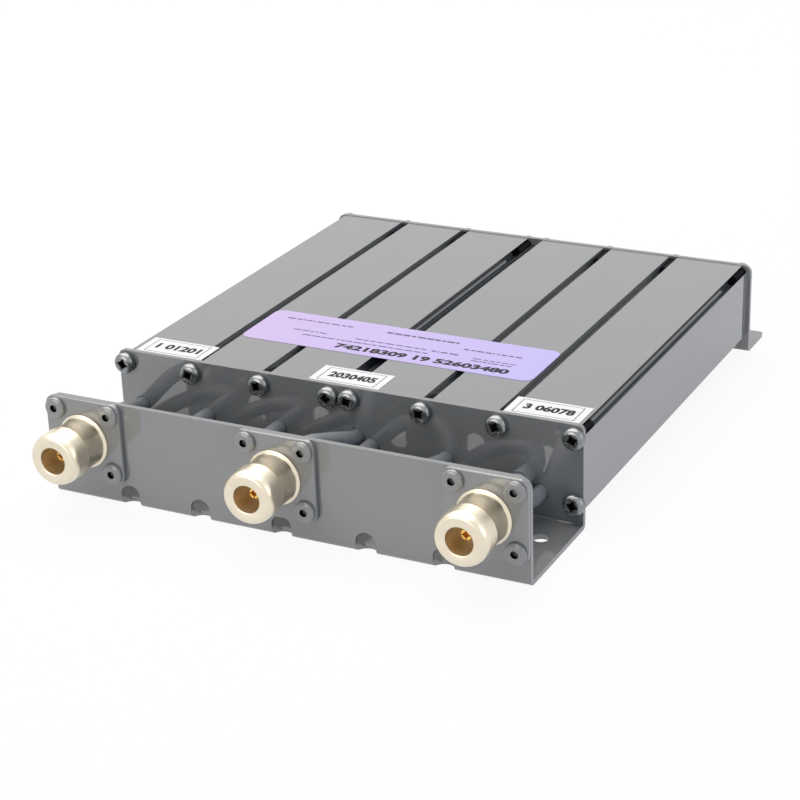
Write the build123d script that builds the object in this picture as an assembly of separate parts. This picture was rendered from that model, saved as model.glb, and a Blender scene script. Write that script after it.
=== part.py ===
from build123d import *
import math
import os

# Six-cavity coaxial duplexer.
# Millimetres. X runs across the sockets, Y from the sockets to the mounting foot, Z up.
# The origin is the bottom centre of the whole object, on its mounting surface.

# Folded sheet of both brackets
SHEET = 1.5
BEND_INSIDE = 0.3
BRACKET_MARGIN = 0.1
LIP_HEIGHT = 32.2
LIP_CORNER = 3.5
PLATE_RISE = 1.4
PLATE_CORNER = 2.0
CHANNEL_DEPTH = 37.2
REAR_RISE = 0.3
REAR_OVERHANG = 1.2
REAR_CORNER = 3.0
FOOT_DEPTH = 15.0
FOOT_CORNER = 1.0

# Mounting holes in the floor and in the foot
MOUNT_HOLE = 4.8
MOUNT_HOLE_EDGE = 8.0
FLOOR_HOLE_SETBACK = 25.2
FOOT_HOLE_EDGE = 6.5

# Extruded profiles, three chambers each
PROFILE_LENGTH = 144.0
PROFILE_WIDTH = 76.2
PROFILE_HEIGHT = 25.4
PROFILE_LIFT = 5.4
PROFILE_GAP = 1.8
PROFILE_WALL = 1.5
DIVIDER_WALL = 2.0
SEAM_OFFSET = 12.0
SEAM_WIDTH = 3.0
SCREW_INSET = 2.5
SCREW_CHANNEL = 3.8
CHANNEL_MOUTH = 2.64
CHAMBER_RADIUS = 1.2
PROFILE_BOTTOM_RADIUS = 0.9

# Pan head screws, larger heads at the front than at the rear
FRONT_HEAD = 6.6
FRONT_HEAD_RIM = 0.9
FRONT_HEAD_HEIGHT = 2.6
FRONT_HEAD_CROWN = 2.8
REAR_HEAD = 5.4
REAR_HEAD_RIM = 0.6
REAR_HEAD_HEIGHT = 1.8
REAR_HEAD_CROWN = 2.6
SCREW_SHANK = 3.5
SCREW_REACH = 8.5
SCREW_HOLE_CLEARANCE = 0.2
RECESS_SPAN = 3.6
RECESS_ARM = 1.0
RECESS_DEPTH = 1.4
DRIVER_HOLE = 6.5
DRIVER_HOLE_HEIGHT = 3.35
DRIVER_HOLE_REACH = 3.35

# Coaxial sockets: 25.4 mm flange, holes 18.26 mm apart, 15.88 mm thread
FLANGE = 25.4
FLANGE_THICK = 1.6
FLANGE_CORNER = 2.8
FLANGE_HOLE_SPACING = 18.26
FLANGE_PROUD = 0.15
SOCKET_REACH = 17.8
SOCKET_THREAD = 15.88
SOCKET_THREAD_LENGTH = 8.0
SOCKET_NOSE = 13.8
SOCKET_NOSE_LENGTH = 2.2
SOCKET_NECK = 14.9
SOCKET_RING = 16.6
SOCKET_RING_LENGTH = 1.0
SOCKET_SHOULDER = 0.9
SOCKET_MOUTH = 8.2
SOCKET_MOUTH_DEPTH = 10.4
SOCKET_CORE = 7.0
SOCKET_BARREL = 12.4
SOCKET_BARREL_LENGTH = 10.0
SOCKET_HOLE_CLEARANCE = 0.25
CUP_DEPTH = 6.0
INSULATOR_LENGTH = 8.0
CONTACT = 3.0
CONTACT_BORE = 1.7
CONTACT_BORE_DEPTH = 5.0
CONTACT_SLOT = 0.4
CONTACT_SLOT_DEPTH = 4.0
CONTACT_RECESS = 4.4
TURNED_FIT = 0.02

# Blind rivets
RIVET_HEAD = 6.5
RIVET_HEAD_HEIGHT = 1.5
RIVET_HEAD_RIM = 0.3
RIVET_CROWN = 3.4
RIVET_SHANK = 3.2
RIVET_HOLE = 3.3
RIVET_BORE = 2.25
RIVET_BORE_DEPTH = 2.4
RIVET_TAIL = 4.6
RIVET_TAIL_LENGTH = 2.2

# Coaxial leads and the sleeve on the last one
LEAD = 4.95
LEAD_CLEARANCE = 0.1
LEAD_STACK = 2.6
SLEEVE = 5.9
SLEEVE_LENGTH = 5.5

# Resonators, tuners and coupling loops
TUBE = 7.0
TUBE_BORE = 5.6
TUBE_GAP = 16.0
TUBE_FOOT = 8.0
TUBE_FOOT_THICK = 2.0
TUNER = 3.9
TUNER_FIT = 0.05
TUNER_STICK_OUT = 7.5
TUNER_ENTRY = 6.0
TUNER_SLOT = 0.8
TUNER_SLOT_DEPTH = 1.2
BUSH = 7.0
BUSH_FLANGE = 9.0
BUSH_FLANGE_THICK = 3.0
NUT_FLATS = 7.0
NUT_THICK = 3.2
LOOP_WIRE = 1.0
LOOP_REACH = 20.0
LOOP_BEND = 2.0

# Labels
LABEL_THICK = 0.12
NAMEPLATE_LENGTH = 99.2
NAMEPLATE_WIDTH = 25.0
NAMEPLATE_CORNER = 3.0
NAMEPLATE_SETBACK = 25.0
PORT_LABEL_LENGTH = 23.4
PORT_LABEL_WIDTH = 11.4
PORT_LABEL_SETBACK = 2.5
PORT_LABEL_END_LEFT = 3.5
PORT_LABEL_END_RIGHT = 2.9
PORT_LABEL_OFF_MIDDLE = 0.9

# How far a cutter runs past the face it opens, and the steps of a rounded edge
CUT_PAST = 1.0
ROUND_STEPS = 4

# Places that follow from the sizes above
BEND_OUTSIDE = BEND_INSIDE + SHEET
OVERALL_LENGTH = SOCKET_REACH + CHANNEL_DEPTH + SHEET + PROFILE_LENGTH + SHEET + FOOT_DEPTH
Y_SOCKET = -OVERALL_LENGTH / 2
Y_LIP = Y_SOCKET + SOCKET_REACH
Y_PLATE = Y_LIP + CHANNEL_DEPTH
Y_BODY = Y_PLATE + SHEET
Y_REAR = Y_BODY + PROFILE_LENGTH
Y_REAR_FACE = Y_REAR + SHEET
Y_FOOT = Y_REAR_FACE + FOOT_DEPTH
PROFILE_TOP = PROFILE_LIFT + PROFILE_HEIGHT
PROFILE_CENTRE = (PROFILE_GAP + PROFILE_WIDTH) / 2
BODY_WIDTH = 2 * PROFILE_WIDTH + PROFILE_GAP
BRACKET_WIDTH = BODY_WIDTH + 2 * BRACKET_MARGIN
REAR_WIDTH = BODY_WIDTH + 2 * REAR_OVERHANG
TUBE_LENGTH = PROFILE_LENGTH - TUBE_GAP
PLATE_HEIGHT = PROFILE_TOP + PLATE_RISE
REAR_HEIGHT = PROFILE_TOP + REAR_RISE
SOCKET_Z = LIP_HEIGHT + FLANGE_PROUD - FLANGE / 2
SOCKET_X = (BRACKET_WIDTH - FLANGE) / 2
CHAMBER_Z = PROFILE_LIFT + PROFILE_HEIGHT / 2
MOUNT_HOLE_X = BRACKET_WIDTH / 2 - MOUNT_HOLE_EDGE
SCREW_TOP_Z = PROFILE_TOP - SCREW_INSET
SCREW_BOTTOM_Z = PROFILE_LIFT + SCREW_INSET

SIDE_NAMES = ("left", "middle", "right")
SOCKET_XS = (-SOCKET_X, 0.0, SOCKET_X)
PORT_LABEL_XS = (
    (PORT_LABEL_LENGTH - BODY_WIDTH) / 2 + PORT_LABEL_END_LEFT,
    -PORT_LABEL_OFF_MIDDLE,
    (BODY_WIDTH - PORT_LABEL_LENGTH) / 2 - PORT_LABEL_END_RIGHT,
)


def screw_offsets():
    """Places of the screws across one profile, from its middle."""
    corner = PROFILE_WIDTH / 2 - SCREW_INSET
    return (-corner, -SEAM_OFFSET, SEAM_OFFSET, corner)


def screw_places():
    """All sixteen screws of one end, as X and Z."""
    xs = [side * PROFILE_CENTRE + offset for side in (-1, 1) for offset in screw_offsets()]
    return [(x, z) for z in (SCREW_BOTTOM_Z, SCREW_TOP_Z) for x in xs]


def driver_hole_xs():
    """The driver holes stand in front of the lower seam screws and of the middle pair."""
    seams = [side * PROFILE_CENTRE + offset for side in (-1, 1) for offset in (-SEAM_OFFSET, SEAM_OFFSET)]
    return sorted(seams + [0.0])


def chamber_spans():
    """Left and right wall of each chamber of one profile, from its middle."""
    half_divider = DIVIDER_WALL / 2
    outer = PROFILE_WIDTH / 2 - PROFILE_WALL
    return (
        (-outer, -SEAM_OFFSET - half_divider),
        (-SEAM_OFFSET + half_divider, SEAM_OFFSET - half_divider),
        (SEAM_OFFSET + half_divider, outer),
    )


def chamber_xs():
    """Middle of each of the six chambers."""
    return [side * PROFILE_CENTRE + sum(span) / 2 for side in (-1, 1) for span in chamber_spans()]


def rod_y(x, z, y_from, y_to, diameter):
    """Round bar along Y between two places."""
    middle = (y_from + y_to) / 2
    return Pos(x, middle, z) * Rot(90, 0, 0) * Cylinder(diameter / 2, abs(y_to - y_from))


def rod_z(x, y, z_from, z_to, diameter):
    """Round bar along Z between two heights."""
    return Pos(x, y, (z_from + z_to) / 2) * Cylinder(diameter / 2, z_to - z_from)


def box_between(x_span, y_span, z_span):
    """Block between two places on each axis."""
    size = [span[1] - span[0] for span in (x_span, y_span, z_span)]
    middle = [(span[0] + span[1]) / 2 for span in (x_span, y_span, z_span)]
    return Pos(*middle) * Box(*size)


def turned(x, z, stations):
    """Body turned round an axis along Y, from (Y, radius) stations on its outline."""
    outline = make_face(Polyline([(radius, y) for y, radius in stations], close=True))
    return Pos(x, 0, z) * revolve(outline, Axis.Y)


def rounded(y_rim, rim, y_face, face):
    """Stations of a quarter ellipse from a rim to a smaller face, as Y and radius."""
    turns = [math.radians(90 * step / ROUND_STEPS) for step in range(ROUND_STEPS + 1)]
    return [
        (y_rim + (y_face - y_rim) * math.sin(turn), face + (rim - face) * math.cos(turn))
        for turn in turns
    ]


def sheet_section(outer_points, inner_points):
    """Closed section of a folded sheet, from the outside and the inside of its folds."""
    outer = FilletPolyline(*outer_points, radius=BEND_OUTSIDE)
    inner = FilletPolyline(*inner_points, radius=BEND_INSIDE)
    ends = Line(outer_points[-1], inner_points[0]) + Line(inner_points[-1], outer_points[0])
    return make_face(outer + inner + ends)


def round_top_corners(sheet, y, z, radius):
    """Rounds the two free corners of an upright sheet whose top edge is at y and z."""
    middle = Vector(0, y, z)
    edges = [
        edge
        for edge in sheet.edges().filter_by(Axis.Y)
        if abs(edge.center().Y - middle.Y) < SHEET / 2 and abs(edge.center().Z - middle.Z) < SHEET / 2
    ]
    return fillet(edges, radius)


def mount_hole_places(y):
    return [(side * MOUNT_HOLE_X, y) for side in (-1, 1)]


def rivet_places():
    """Four rivets round each socket, as X and Z."""
    half = FLANGE_HOLE_SPACING / 2
    return [(x + dx, SOCKET_Z + dz) for x in SOCKET_XS for dx in (-half, half) for dz in (-half, half)]


# Leads enter the end plate at a chamber, two for each, shifted sideways and up from its middle.
LEAD_ENTRY_PLACES = (
    (("left_port", -6.2, -3.2), ("1_out", -4.4, -8.6)),
    (("2_in", -7.2, -3.0), ("2_out", -5.2, -8.6)),
    (("3_in", -7.0, -3.0), ("3_out", -5.0, -8.6)),
    (("4_in", -9.0, -1.3), ("4_out", -4.2, -3.6)),
    (("5_in", -4.7, -3.4), ("5_out", -1.7, -8.6)),
    (("6_in", -4.0, -3.4), ("right_port", 0.0, -8.6)),
)
LEAD_ENTRIES = {
    name: (x + dx, CHAMBER_Z + dz)
    for x, pair in zip(chamber_xs(), LEAD_ENTRY_PLACES)
    for name, dx, dz in pair
}
Y_CUP = Y_LIP + SOCKET_BARREL_LENGTH - CUP_DEPTH
CUP_AHEAD = Y_PLATE - Y_CUP


def at_entry(name):
    """Inner end of a lead, flush with the inner face of the end plate."""
    x, z = LEAD_ENTRIES[name]
    return (x, -SHEET, z)


def ahead(name, distance, dx=0.0, dz=0.0):
    """Point in front of an entry, shifted sideways and up where the lead leans."""
    x, z = LEAD_ENTRIES[name]
    return (x + dx, distance, z + dz)


def lead_routes():
    """Corners of each lead and the radius of the arc at each corner. X and Z are measured from the
    middle of the object and from its mounting surface, Y from the end plate towards the sockets."""
    low, high = SOCKET_Z - LEAD_STACK, SOCKET_Z + LEAD_STACK
    return {
        "coax_left_port": (
            [at_entry("left_port"), ahead("left_port", 3.0), ahead("left_port", 15.5, 1.2, 4.0),
             (-SOCKET_X, 24.5, SOCKET_Z), (-SOCKET_X, CUP_AHEAD, SOCKET_Z)],
            [7.0, 20.0, 16.0],
        ),
        "coax_1_2": (
            [at_entry("1_out"), ahead("1_out", 21.0), ahead("2_in", 21.0), at_entry("2_in")],
            [11.0, 11.0],
        ),
        "coax_2_3": (
            [at_entry("2_out"), ahead("2_out", 22.5), ahead("3_in", 20.5), at_entry("3_in")],
            [11.0, 11.0],
        ),
        "coax_3_antenna": (
            [at_entry("3_out"), ahead("3_out", 10.0), (0.0, 22.0, low), (0.0, CUP_AHEAD, low)],
            [9.0, 10.0],
        ),
        "coax_antenna_4": (
            [at_entry("4_in"), ahead("4_in", 2.0), (0.0, 20.0, high), (0.0, CUP_AHEAD, high)],
            [12.0, 18.0],
        ),
        "coax_4_5": (
            [at_entry("5_in"), ahead("5_in", 2.6), ahead("5_in", 13.5, -5.5, -0.2),
             ahead("5_in", 22.8, -13.2, -0.6), ahead("4_out", 22.8, 0.0, -0.4), at_entry("4_out")],
            [9.0, 18.0, 6.0, 8.0],
        ),
        "coax_5_6": (
            [at_entry("6_in"), ahead("6_in", 7.5), ahead("6_in", 22.6, -6.8, -3.0),
             ahead("5_out", 23.4, 0.0, 0.3), at_entry("5_out")],
            [8.0, 8.5, 9.5],
        ),
        "coax_right_port": (
            [at_entry("right_port"), ahead("right_port", 8.0), (SOCKET_X, 20.0, SOCKET_Z),
             (SOCKET_X, CUP_AHEAD, SOCKET_Z)],
            [12.0, 14.0],
        ),
    }


def front_bracket():
    """Folded channel: socket lip, floor and end plate in one sheet, with all its holes."""
    back = Y_BODY
    section = sheet_section(
        [(Y_LIP, LIP_HEIGHT), (Y_LIP, 0), (back, 0), (back, PLATE_HEIGHT)],
        [(Y_PLATE, PLATE_HEIGHT), (Y_PLATE, SHEET), (Y_LIP + SHEET, SHEET), (Y_LIP + SHEET, LIP_HEIGHT)],
    )
    sheet = extrude(Plane.YZ * section, BRACKET_WIDTH / 2, both=True)
    sheet = round_top_corners(sheet, Y_LIP + SHEET / 2, LIP_HEIGHT, LIP_CORNER)
    sheet = round_top_corners(sheet, Y_PLATE + SHEET / 2, PLATE_HEIGHT, PLATE_CORNER)
    cutters = []
    lip_span = (Y_LIP - SHEET, Y_LIP + 2 * SHEET)
    plate_span = (Y_PLATE - SHEET, Y_BODY + SHEET)
    for x in SOCKET_XS:
        cutters.append(rod_y(x, SOCKET_Z, *lip_span, SOCKET_BARREL + 2 * SOCKET_HOLE_CLEARANCE))
    for x, z in rivet_places():
        cutters.append(rod_y(x, z, *lip_span, RIVET_HOLE))
    for x in driver_hole_xs():
        cutters.append(rod_y(x, DRIVER_HOLE_HEIGHT, *lip_span, DRIVER_HOLE))
        y = Y_LIP + DRIVER_HOLE_REACH - DRIVER_HOLE / 2
        cutters.append(rod_z(x, y, -SHEET, 2 * SHEET, DRIVER_HOLE))
    for x, z in screw_places():
        cutters.append(rod_y(x, z, *plate_span, SCREW_SHANK + 2 * SCREW_HOLE_CLEARANCE))
    for name, (x, z) in LEAD_ENTRIES.items():
        cutters.append(rod_y(x, z, *plate_span, LEAD + 2 * LEAD_CLEARANCE))
    for x, y in mount_hole_places(Y_LIP + FLOOR_HOLE_SETBACK):
        cutters.append(rod_z(x, y, -SHEET, 2 * SHEET, MOUNT_HOLE))
    return sheet - cutters


def rear_bracket():
    """Folded end plate with the mounting foot turned to the rear."""
    section = sheet_section(
        [(Y_REAR, REAR_HEIGHT), (Y_REAR, 0), (Y_FOOT, 0)],
        [(Y_FOOT, SHEET), (Y_REAR_FACE, SHEET), (Y_REAR_FACE, REAR_HEIGHT)],
    )
    sheet = extrude(Plane.YZ * section, REAR_WIDTH / 2, both=True)
    sheet = round_top_corners(sheet, Y_REAR + SHEET / 2, REAR_HEIGHT, REAR_CORNER)
    foot_corners = [
        edge
        for edge in sheet.edges().filter_by(Axis.Z)
        if edge.center().Y > Y_FOOT - SHEET / 2
    ]
    sheet = fillet(foot_corners, FOOT_CORNER)
    cutters = []
    plate_span = (Y_REAR - SHEET, Y_REAR_FACE + SHEET)
    for x, z in screw_places():
        cutters.append(rod_y(x, z, *plate_span, SCREW_SHANK + 2 * SCREW_HOLE_CLEARANCE))
    for x in chamber_xs():
        cutters.append(rod_y(x, CHAMBER_Z, *plate_span, BUSH + 2 * TURNED_FIT))
    for x, y in mount_hole_places(Y_FOOT - FOOT_HOLE_EDGE):
        cutters.append(rod_z(x, y, -SHEET, 2 * SHEET, MOUNT_HOLE))
    return sheet - cutters


def screw_channel_places():
    """Sides and places of the eight screw channels of one section, in X and Z about its middle."""
    z_screw = PROFILE_HEIGHT / 2 - SCREW_INSET
    return [(x, z_side, z_side * z_screw) for x in screw_offsets() for z_side in (-1, 1)]


def channel_mouth(x, z_side):
    """Slot that opens a screw channel: at 45 degrees in the top corners, else straight up or down."""
    reach = 4 * SCREW_INSET
    if abs(x) > SEAM_OFFSET and z_side > 0:
        turn = math.copysign(45, -x)
        return Rot(0, 0, turn) * Pos(0, reach / 2) * Rectangle(CHANNEL_MOUTH, reach)
    width = CHANNEL_MOUTH if abs(x) > SEAM_OFFSET else SEAM_WIDTH
    return Pos(0, z_side * reach / 2) * Rectangle(width, reach)


def profile_section():
    """Section of one extrusion, in X and Z about its middle."""
    outline = Rectangle(PROFILE_WIDTH, PROFILE_HEIGHT)
    outline = fillet(outline.vertices().group_by(Axis.Y)[0], PROFILE_BOTTOM_RADIUS)
    chambers = Sketch() + [
        Pos((left + right) / 2, 0)
        * RectangleRounded(right - left, PROFILE_HEIGHT - 2 * PROFILE_WALL, CHAMBER_RADIUS)
        for left, right in chamber_spans()
    ]
    boss = SCREW_CHANNEL / 2 + PROFILE_WALL
    for x, z_side, z in screw_channel_places():
        chambers -= Pos(x, z) * Circle(boss)
        chambers -= Pos(x, z + z_side * SCREW_INSET / 2) * Rectangle(2 * boss, SCREW_INSET)
    section = outline - chambers
    for x, z_side, z in screw_channel_places():
        section -= Pos(x, z) * (Circle(SCREW_CHANNEL / 2) + channel_mouth(x, z_side))
    return section


def cavity_profile(side):
    """One extrusion, from the front plate to the rear plate."""
    section = Pos(side * PROFILE_CENTRE, CHAMBER_Z) * profile_section()
    front = Plane(origin=(0, Y_REAR, 0), x_dir=(1, 0, 0), z_dir=(0, -1, 0))
    return extrude(front * section, PROFILE_LENGTH)


def connector_body(x, cup):
    """Turned socket body with its square flange. cup is the bore of its rear end."""
    y_flange = Y_LIP - FLANGE_THICK
    y_ring = y_flange - SOCKET_RING_LENGTH
    y_thread = Y_SOCKET + SOCKET_THREAD_LENGTH
    y_tail = Y_LIP + SOCKET_BARREL_LENGTH
    y_seat = Y_SOCKET + SOCKET_MOUTH_DEPTH
    thread, neck = SOCKET_THREAD / 2, SOCKET_NECK / 2
    barrel = turned(x, SOCKET_Z, [
        (Y_SOCKET, 0),
        *reversed(rounded(Y_SOCKET + SOCKET_NOSE_LENGTH, thread, Y_SOCKET, SOCKET_NOSE / 2)),
        (y_thread - SOCKET_SHOULDER, thread),
        (y_thread, neck),
        (y_ring, neck),
        (y_ring, SOCKET_RING / 2),
        (Y_LIP, SOCKET_RING / 2),
        (Y_LIP, SOCKET_BARREL / 2),
        (y_tail, SOCKET_BARREL / 2),
        (y_tail, 0),
    ])
    flange = extrude(RectangleRounded(FLANGE, FLANGE, FLANGE_CORNER), FLANGE_THICK)
    flange = Pos(x, Y_LIP, SOCKET_Z) * Rot(90, 0, 0) * flange
    bores = [
        rod_y(x, SOCKET_Z, Y_SOCKET - CUT_PAST, y_seat, SOCKET_MOUTH),
        rod_y(x, SOCKET_Z, y_seat, Y_CUP, SOCKET_CORE),
        rod_y(x, SOCKET_Z, Y_CUP, y_tail + CUT_PAST, cup),
    ]
    for hole_x, hole_z in rivet_places():
        if abs(hole_x - x) < FLANGE / 2:
            bores.append(rod_y(hole_x, hole_z, y_flange - CUT_PAST, Y_LIP + CUT_PAST, RIVET_HOLE))
    return barrel + flange - bores


def connector_insulator(x):
    """Turned insulator that carries the contact."""
    y_seat = Y_SOCKET + SOCKET_MOUTH_DEPTH
    y_end = y_seat + INSULATOR_LENGTH
    disc = rod_y(x, SOCKET_Z, y_seat, y_end, SOCKET_CORE - 2 * TURNED_FIT)
    return disc - rod_y(x, SOCKET_Z, y_seat - CUT_PAST, y_end + CUT_PAST, CONTACT + 2 * TURNED_FIT)


def connector_contact(x):
    """Female contact: a pin with a bored, cross-slotted front end."""
    y_tip = Y_SOCKET + CONTACT_RECESS
    pin = rod_y(x, SOCKET_Z, y_tip, Y_CUP, CONTACT)
    pin -= rod_y(x, SOCKET_Z, y_tip - CUT_PAST, y_tip + CONTACT_BORE_DEPTH, CONTACT_BORE)
    slot_span = (y_tip - CUT_PAST, y_tip + CONTACT_SLOT_DEPTH)
    half_slot, reach = CONTACT_SLOT / 2, CONTACT
    pin -= box_between((x - half_slot, x + half_slot), slot_span, (SOCKET_Z - reach, SOCKET_Z + reach))
    pin -= box_between((x - reach, x + reach), slot_span, (SOCKET_Z - half_slot, SOCKET_Z + half_slot))
    return pin


def blind_rivet(x, z):
    """Domed head on the flange, shank through flange and lip, tail upset behind the lip."""
    y_flange = Y_LIP - FLANGE_THICK
    y_back = Y_LIP + SHEET
    y_crown = y_flange - RIVET_HEAD_HEIGHT
    head = turned(x, z, [
        (y_flange, 0),
        (y_flange, RIVET_HEAD / 2),
        *rounded(y_flange - RIVET_HEAD_RIM, RIVET_HEAD / 2, y_crown, RIVET_CROWN / 2),
        (y_crown, 0),
    ])
    shank = rod_y(x, z, y_flange, y_back, RIVET_SHANK)
    tail = rod_y(x, z, y_back, y_back + RIVET_TAIL_LENGTH, RIVET_TAIL)
    return head + shank + tail - rod_y(x, z, y_crown - CUT_PAST, y_crown + RIVET_BORE_DEPTH, RIVET_BORE)


def pan_screw(x, z, y_seat, outward, head, rim, height, crown):
    """Pan head screw with a cross recess. outward is the way its head faces along Y."""
    y_top = y_seat + outward * height
    y_end = y_seat - outward * (SCREW_REACH + SHEET)
    screw = turned(x, z, [
        (y_end, 0),
        (y_end, SCREW_SHANK / 2),
        (y_seat, SCREW_SHANK / 2),
        (y_seat, head / 2),
        *rounded(y_seat + outward * rim, head / 2, y_top, crown / 2),
        (y_top, 0),
    ])
    recess = sorted((y_top + outward * CUT_PAST, y_top - outward * RECESS_DEPTH))
    arm, span = RECESS_ARM / 2, RECESS_SPAN / 2
    screw -= box_between((x - arm, x + arm), recess, (z - span, z + span))
    screw -= box_between((x - span, x + span), recess, (z - arm, z + arm))
    return screw


def front_screws():
    sizes = (FRONT_HEAD, FRONT_HEAD_RIM, FRONT_HEAD_HEIGHT, FRONT_HEAD_CROWN)
    return Compound([pan_screw(x, z, Y_PLATE, -1, *sizes) for x, z in screw_places()])


def rear_screws():
    sizes = (REAR_HEAD, REAR_HEAD_RIM, REAR_HEAD_HEIGHT, REAR_HEAD_CROWN)
    return Compound([pan_screw(x, z, Y_REAR_FACE, 1, *sizes) for x, z in screw_places()])


def lead(points, radii):
    """Tube of a lead: straight runs joined by tangent arcs."""
    route = [Vector(x, Y_PLATE - distance, z) for x, distance, z in points]
    path = FilletPolyline(*route, radius=radii)
    start = Plane(origin=path @ 0, z_dir=path % 0)
    tube = sweep(start * Circle(LEAD / 2), path=path)
    expected = math.pi * (LEAD / 2) ** 2 * path.length
    return tube, path.length, tube.volume / expected


def lead_sleeve():
    """Sleeve over the lead where it enters the last cavity."""
    x, z = LEAD_ENTRIES["6_in"]
    y_front = Y_PLATE - SLEEVE_LENGTH
    outside = rod_y(x, z, y_front, Y_PLATE, SLEEVE)
    return outside - rod_y(x, z, y_front - CUT_PAST, Y_PLATE + CUT_PAST, LEAD + 2 * TURNED_FIT)


def resonator_tube(x):
    """Tube with a closed foot on the front plate, open towards the tuning screw."""
    y_foot = Y_BODY + TUBE_FOOT_THICK
    y_open = Y_BODY + TUBE_LENGTH
    tube = rod_y(x, CHAMBER_Z, Y_BODY, y_open, TUBE)
    tube += rod_y(x, CHAMBER_Z, Y_BODY, y_foot, TUBE_FOOT)
    return tube - rod_y(x, CHAMBER_Z, y_foot, y_open + CUT_PAST, TUBE_BORE)


def tuning_screw(x):
    """Slotted screw from outside the rear plate into the open end of the tube."""
    y_tip = Y_BODY + TUBE_LENGTH - TUNER_ENTRY
    y_head = Y_REAR_FACE + TUNER_STICK_OUT
    screw = rod_y(x, CHAMBER_Z, y_tip, y_head, TUNER)
    slot = box_between(
        (x - TUNER, x + TUNER),
        (y_head - TUNER_SLOT_DEPTH, y_head + CUT_PAST),
        (CHAMBER_Z - TUNER_SLOT / 2, CHAMBER_Z + TUNER_SLOT / 2),
    )
    return screw - slot


def tuner_bush(x):
    """Bush pressed into the rear plate from inside."""
    y_flange = Y_REAR - BUSH_FLANGE_THICK
    bush = rod_y(x, CHAMBER_Z, y_flange, Y_REAR, BUSH_FLANGE)
    bush += rod_y(x, CHAMBER_Z, Y_REAR, Y_REAR_FACE, BUSH)
    return bush - rod_y(x, CHAMBER_Z, y_flange - CUT_PAST, Y_REAR_FACE + CUT_PAST, TUNER + 2 * TUNER_FIT)


def lock_nut(x):
    """Hexagon nut on the outer face of the rear plate."""
    hexagon = RegularPolygon(NUT_FLATS / 2, 6, major_radius=False) - Circle(TUNER / 2 + TUNER_FIT)
    return Pos(x, Y_REAR_FACE, CHAMBER_Z) * Rot(-90, 0, 0) * extrude(hexagon, NUT_THICK)


def coupling_loop(pair):
    """Wire loop between the cores of the two leads of one cavity."""
    ends = [Vector(LEAD_ENTRIES[name][0], Y_BODY, LEAD_ENTRIES[name][1]) for name, _, _ in pair]
    tips = [end + Vector(0, LOOP_REACH, 0) for end in ends]
    path = FilletPolyline(ends[0], tips[0], tips[1], ends[1], radius=LOOP_BEND)
    return sweep(Plane(origin=path @ 0, z_dir=path % 0) * Circle(LOOP_WIRE / 2), path=path)


def label(x, y_from, length, width, corner):
    """Thin label on the top faces of the profiles."""
    outline = RectangleRounded(length, width, corner) if corner else Rectangle(length, width)
    return Pos(x, y_from + width / 2, PROFILE_TOP) * extrude(outline, LABEL_THICK)


def write_labels(write):
    write("nameplate_label", label(0, Y_BODY + NAMEPLATE_SETBACK, NAMEPLATE_LENGTH, NAMEPLATE_WIDTH,
                                   NAMEPLATE_CORNER))
    for name, x in zip(SIDE_NAMES, PORT_LABEL_XS):
        write(f"port_label_{name}", label(x, Y_BODY + PORT_LABEL_SETBACK, PORT_LABEL_LENGTH,
                                          PORT_LABEL_WIDTH, 0))


def write_step(node, shape):
    export_step(shape, f"parts/{node}.step")


def main():
    os.makedirs("parts", exist_ok=True)
    write_step("front_bracket", front_bracket())
    write_step("rear_bracket", rear_bracket())
    write_step("cavity_profile_left", cavity_profile(-1))
    write_step("cavity_profile_right", cavity_profile(1))
    single_cup = LEAD + 2 * LEAD_CLEARANCE
    double_cup = 2 * LEAD_STACK + single_cup
    for name, x, cup in zip(SIDE_NAMES, SOCKET_XS, (single_cup, double_cup, single_cup)):
        write_step(f"connector_body_{name}", connector_body(x, cup))
        write_step(f"connector_insulator_{name}", connector_insulator(x))
        write_step(f"connector_contact_{name}", connector_contact(x))
    write_step("connector_rivets", Compound([blind_rivet(x, z) for x, z in rivet_places()]))
    write_step("front_screws", front_screws())
    write_step("rear_screws", rear_screws())
    for node, (points, radii) in lead_routes().items():
        tube, length, ratio = lead(points, radii)
        print(f"{node}: {length:.1f} mm long, radii {radii}, volume ratio {ratio:.4f}")
        write_step(node, tube)
    write_step("lead_sleeve", lead_sleeve())
    for number, (x, pair) in enumerate(zip(chamber_xs(), LEAD_ENTRY_PLACES), start=1):
        write_step(f"resonator_tube_{number}", resonator_tube(x))
        write_step(f"tuning_screw_{number}", tuning_screw(x))
        write_step(f"coupling_loop_{number}", coupling_loop(pair))
    write_step("tuner_bushes", Compound([tuner_bush(x) for x in chamber_xs()]))
    write_step("lock_nuts", Compound([lock_nut(x) for x in chamber_xs()]))
    write_labels(write_step)


main()
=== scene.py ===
import math

import bpy
import numpy as np
from bpy.props import FloatProperty, IntProperty, PointerProperty, StringProperty
from mathutils import Matrix, Vector


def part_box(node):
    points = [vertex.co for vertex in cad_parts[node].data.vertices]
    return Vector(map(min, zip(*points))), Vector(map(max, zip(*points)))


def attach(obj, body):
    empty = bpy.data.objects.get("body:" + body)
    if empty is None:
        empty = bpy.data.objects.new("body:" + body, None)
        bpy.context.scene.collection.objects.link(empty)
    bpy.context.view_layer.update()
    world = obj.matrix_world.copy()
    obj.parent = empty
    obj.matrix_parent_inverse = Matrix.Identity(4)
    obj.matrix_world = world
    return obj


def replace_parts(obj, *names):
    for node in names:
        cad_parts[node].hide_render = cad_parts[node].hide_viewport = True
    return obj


bl_info = {
    "name": "Cavity duplexer looks",
    "version": (1, 0, 0),
    "blender": (4, 5, 0),
    "location": "View3D > Sidebar > Duplexer",
    "description": "Finishes and fine detail for a six cavity coaxial duplexer",
    "category": "Object",
}

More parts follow.
